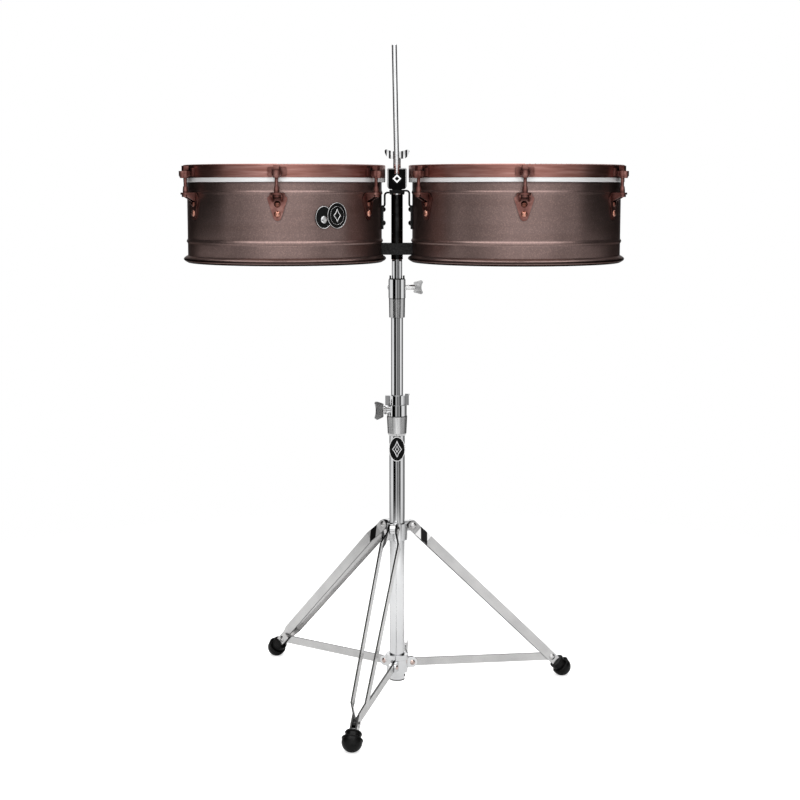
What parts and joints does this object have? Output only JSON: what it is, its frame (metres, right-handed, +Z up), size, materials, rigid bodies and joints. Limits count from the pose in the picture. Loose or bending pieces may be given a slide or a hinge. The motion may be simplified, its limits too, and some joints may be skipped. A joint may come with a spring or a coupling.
{
  "type": "timbales",
  "caption": "Pair of shallow metal drums with tuning hardware on a telescopic column over a folding tripod stand, with a post for a cowbell.",
  "frame": {"origin": "on the column axis at floor level", "axes": "+Z up the column, +X towards the larger drum, -Y towards the player"},
  "size_m": [0.8086, 0.5985, 1.21],
  "materials": {
    "shell": "satin gunmetal brown with fine flake",
    "rim": "brushed red-brown copper",
    "copper": "satin copper brown",
    "chrome": "polished",
    "satin": "satin cast",
    "black_metal": "satin black",
    "black_plastic": "fine grain",
    "rubber": "matte",
    "drumhead": "coated film"
  },
  "bodies": {
    "base": {"base_tube": "chrome", "base_tube_cap": "black_plastic", "leg_hub": "chrome", "leg_hub_pins": "satin", "lower_clamp": "satin", "lower_bushing": "black_plastic", "stand_badge": "black_metal"},
    "brace_hub": {"brace_hub": "chrome", "brace_hub_pins": "satin"},
    "brace_hub_wing_screw": {"brace_hub_wing_screw": "satin"},
    "middle": {"middle_tube": "chrome", "memory_lock": "satin", "upper_clamp": "chrome", "upper_bushing": "black_plastic"},
    "lower_wing_bolt": {"lower_wing_bolt": "satin"},
    "upper_wing_bolt": {"upper_wing_bolt": "satin"},
    "upper": {"upper_tube": "chrome"},
    "drums": {"receiver_tube": "black_metal", "head_block": "black_metal", "hangers": "black_metal", "hanger_bolts": "chrome", "shell_spacer": "black_plastic", "cowbell_post_bolt": "chrome", "shell_left": "shell", "shell_right": "shell", "drumhead_left": "drumhead", "drumhead_right": "drumhead", "flesh_hoop_left": "chrome", "flesh_hoop_right": "chrome", "rim_left": "rim", "rim_right": "rim", "lugs": "copper", "lug_nuts": "copper", "lug_bolts": "copper", "claws": "copper", "shell_badge": "black_metal"},
    "top_wing_bolt": {"top_wing_bolt": "satin"},
    "cowbell_post": {"cowbell_post": "chrome"},
    "brace_right": {"brace_right": "satin"},
    "leg_right": {"leg_right": "chrome", "foot_right": "rubber"},
    "brace_left": {"brace_left": "satin"},
    "leg_left": {"leg_left": "chrome", "foot_left": "rubber"},
    "brace_front": {"brace_front": "satin"},
    "leg_front": {"leg_front": "chrome", "foot_front": "rubber"},
    "tension_rod_left_1": {"tension_rod_left_1": "copper"},
    "tension_rod_left_2": {"tension_rod_left_2": "copper"},
    "tension_rod_left_3": {"tension_rod_left_3": "copper"},
    "tension_rod_left_4": {"tension_rod_left_4": "copper"},
    "tension_rod_left_5": {"tension_rod_left_5": "copper"},
    "tension_rod_left_6": {"tension_rod_left_6": "copper"},
    "tension_rod_right_1": {"tension_rod_right_1": "copper"},
    "tension_rod_right_2": {"tension_rod_right_2": "copper"},
    "tension_rod_right_3": {"tension_rod_right_3": "copper"},
    "tension_rod_right_4": {"tension_rod_right_4": "copper"},
    "tension_rod_right_5": {"tension_rod_right_5": "copper"},
    "tension_rod_right_6": {"tension_rod_right_6": "copper"}
  },
  "joints": [
    {"name": "brace_hub_slide", "type": "slide", "parent": "base", "child": "brace_hub", "axis": [0, 0, 1], "range_m": [0, 0.15221]},
    {"name": "middle_tube_slide", "type": "slide", "parent": "base", "child": "middle", "axis": [0, 0, 1], "range_m": [0, 0.18]},
    {"name": "upper_tube_slide", "type": "slide", "parent": "middle", "child": "upper", "axis": [0, 0, 1], "range_m": [-0.025, 0.2]},
    {"name": "drum_swivel", "type": "hinge", "parent": "upper", "child": "drums", "pos_m": [0, 0, 0.88], "axis": [0, 0, 1], "continuous": true},
    {"name": "cowbell_post_tilt", "type": "hinge", "parent": "drums", "child": "cowbell_post", "pos_m": [0, -0.029, 0.9695], "axis": [0, 1, 0], "range_deg": [-10, 12]},
    {"name": "top_wing_bolt_turn", "type": "hinge", "parent": "drums", "child": "top_wing_bolt", "pos_m": [0, 0, 0.99], "axis": [0, 0, 1], "range_deg": [0, 540]},
    {"name": "upper_wing_bolt_turn", "type": "hinge", "parent": "middle", "child": "upper_wing_bolt", "pos_m": [0, 0.0215, 0.7696], "axis": [1, 0, 0], "range_deg": [0, 540]},
    {"name": "lower_wing_bolt_turn", "type": "hinge", "parent": "base", "child": "lower_wing_bolt", "pos_m": [0, 0, 0.543], "axis": [-0.9063, -0.4226, 0], "range_deg": [0, 540]},
    {"name": "brace_hub_wing_screw_turn", "type": "hinge", "parent": "brace_hub", "child": "brace_hub_wing_screw", "pos_m": [0, 0, 0.066], "axis": [0.3907, 0.9205, 0], "range_deg": [0, 540]},
    {"name": "brace_right_fold", "type": "hinge", "parent": "brace_hub", "child": "brace_right", "pos_m": [0.02773, 0.00848, 0.0545], "axis": [-0.2924, 0.9563, 0], "range_deg": [0, 87.11]},
    {"name": "leg_right_fold", "type": "hinge", "parent": "brace_right", "child": "leg_right", "pos_m": [0.30219, 0.09239, 0.04], "axis": [0.2924, -0.9563, 0], "range_deg": [0, 41.5]},
    {"name": "brace_left_fold", "type": "hinge", "parent": "brace_hub", "child": "brace_left", "pos_m": [-0.02121, 0.01978, 0.0545], "axis": [-0.682, -0.7314, 0], "range_deg": [0, 87.11]},
    {"name": "leg_left_fold", "type": "hinge", "parent": "brace_left", "child": "leg_left", "pos_m": [-0.23111, 0.21551, 0.04], "axis": [0.682, 0.7314, 0], "range_deg": [0, 41.5]},
    {"name": "brace_front_fold", "type": "hinge", "parent": "brace_hub", "child": "brace_front", "pos_m": [-0.00652, -0.02826, 0.0545], "axis": [0.9744, -0.225, 0], "range_deg": [0, 87.11]},
    {"name": "leg_front_fold", "type": "hinge", "parent": "brace_front", "child": "leg_front", "pos_m": [-0.07108, -0.3079, 0.04], "axis": [-0.9744, 0.225, 0], "range_deg": [0, 41.5]},
    {"name": "tension_rod_left_1_turn", "type": "hinge", "parent": "drums", "child": "tension_rod_left_1", "pos_m": [-0.2058, -0.1953, 0.96], "axis": [0, 0, 1], "range_deg": [-450, 450]},
    {"name": "tension_rod_left_2_turn", "type": "hinge", "parent": "drums", "child": "tension_rod_left_2", "pos_m": [-0.03667, -0.09765, 0.96], "axis": [0, 0, 1], "range_deg": [-450, 450]},
    {"name": "tension_rod_left_3_turn", "type": "hinge", "parent": "drums", "child": "tension_rod_left_3", "pos_m": [-0.03667, 0.09765, 0.96], "axis": [0, 0, 1], "range_deg": [-450, 450]},
    {"name": "tension_rod_left_4_turn", "type": "hinge", "parent": "drums", "child": "tension_rod_left_4", "pos_m": [-0.2058, 0.1953, 0.96], "axis": [0, 0, 1], "range_deg": [-450, 450]},
    {"name": "tension_rod_left_5_turn", "type": "hinge", "parent": "drums", "child": "tension_rod_left_5", "pos_m": [-0.37494, 0.09765, 0.96], "axis": [0, 0, 1], "range_deg": [-450, 450]},
    {"name": "tension_rod_left_6_turn", "type": "hinge", "parent": "drums", "child": "tension_rod_left_6", "pos_m": [-0.37494, -0.09765, 0.96], "axis": [0, 0, 1], "range_deg": [-450, 450]},
    {"name": "tension_rod_right_1_turn", "type": "hinge", "parent": "drums", "child": "tension_rod_right_1", "pos_m": [0.2185, -0.208, 0.96], "axis": [0, 0, 1], "range_deg": [-450, 450]},
    {"name": "tension_rod_right_2_turn", "type": "hinge", "parent": "drums", "child": "tension_rod_right_2", "pos_m": [0.39863, -0.104, 0.96], "axis": [0, 0, 1], "range_deg": [-450, 450]},
    {"name": "tension_rod_right_3_turn", "type": "hinge", "parent": "drums", "child": "tension_rod_right_3", "pos_m": [0.39863, 0.104, 0.96], "axis": [0, 0, 1], "range_deg": [-450, 450]},
    {"name": "tension_rod_right_4_turn", "type": "hinge", "parent": "drums", "child": "tension_rod_right_4", "pos_m": [0.2185, 0.208, 0.96], "axis": [0, 0, 1], "range_deg": [-450, 450]},
    {"name": "tension_rod_right_5_turn", "type": "hinge", "parent": "drums", "child": "tension_rod_right_5", "pos_m": [0.03837, 0.104, 0.96], "axis": [0, 0, 1], "range_deg": [-450, 450]},
    {"name": "tension_rod_right_6_turn", "type": "hinge", "parent": "drums", "child": "tension_rod_right_6", "pos_m": [0.03837, -0.104, 0.96], "axis": [0, 0, 1], "range_deg": [-450, 450]}
  ],
  "couplings": [
    {"joint": "brace_right_fold", "follows": "brace_hub_slide", "rad_per_m": 9.9885},
    {"joint": "leg_right_fold", "follows": "brace_hub_slide", "rad_per_m": 4.759},
    {"joint": "brace_left_fold", "follows": "brace_hub_slide", "rad_per_m": 9.9885},
    {"joint": "leg_left_fold", "follows": "brace_hub_slide", "rad_per_m": 4.759},
    {"joint": "brace_front_fold", "follows": "brace_hub_slide", "rad_per_m": 9.9885},
    {"joint": "leg_front_fold", "follows": "brace_hub_slide", "rad_per_m": 4.759}
  ]
}
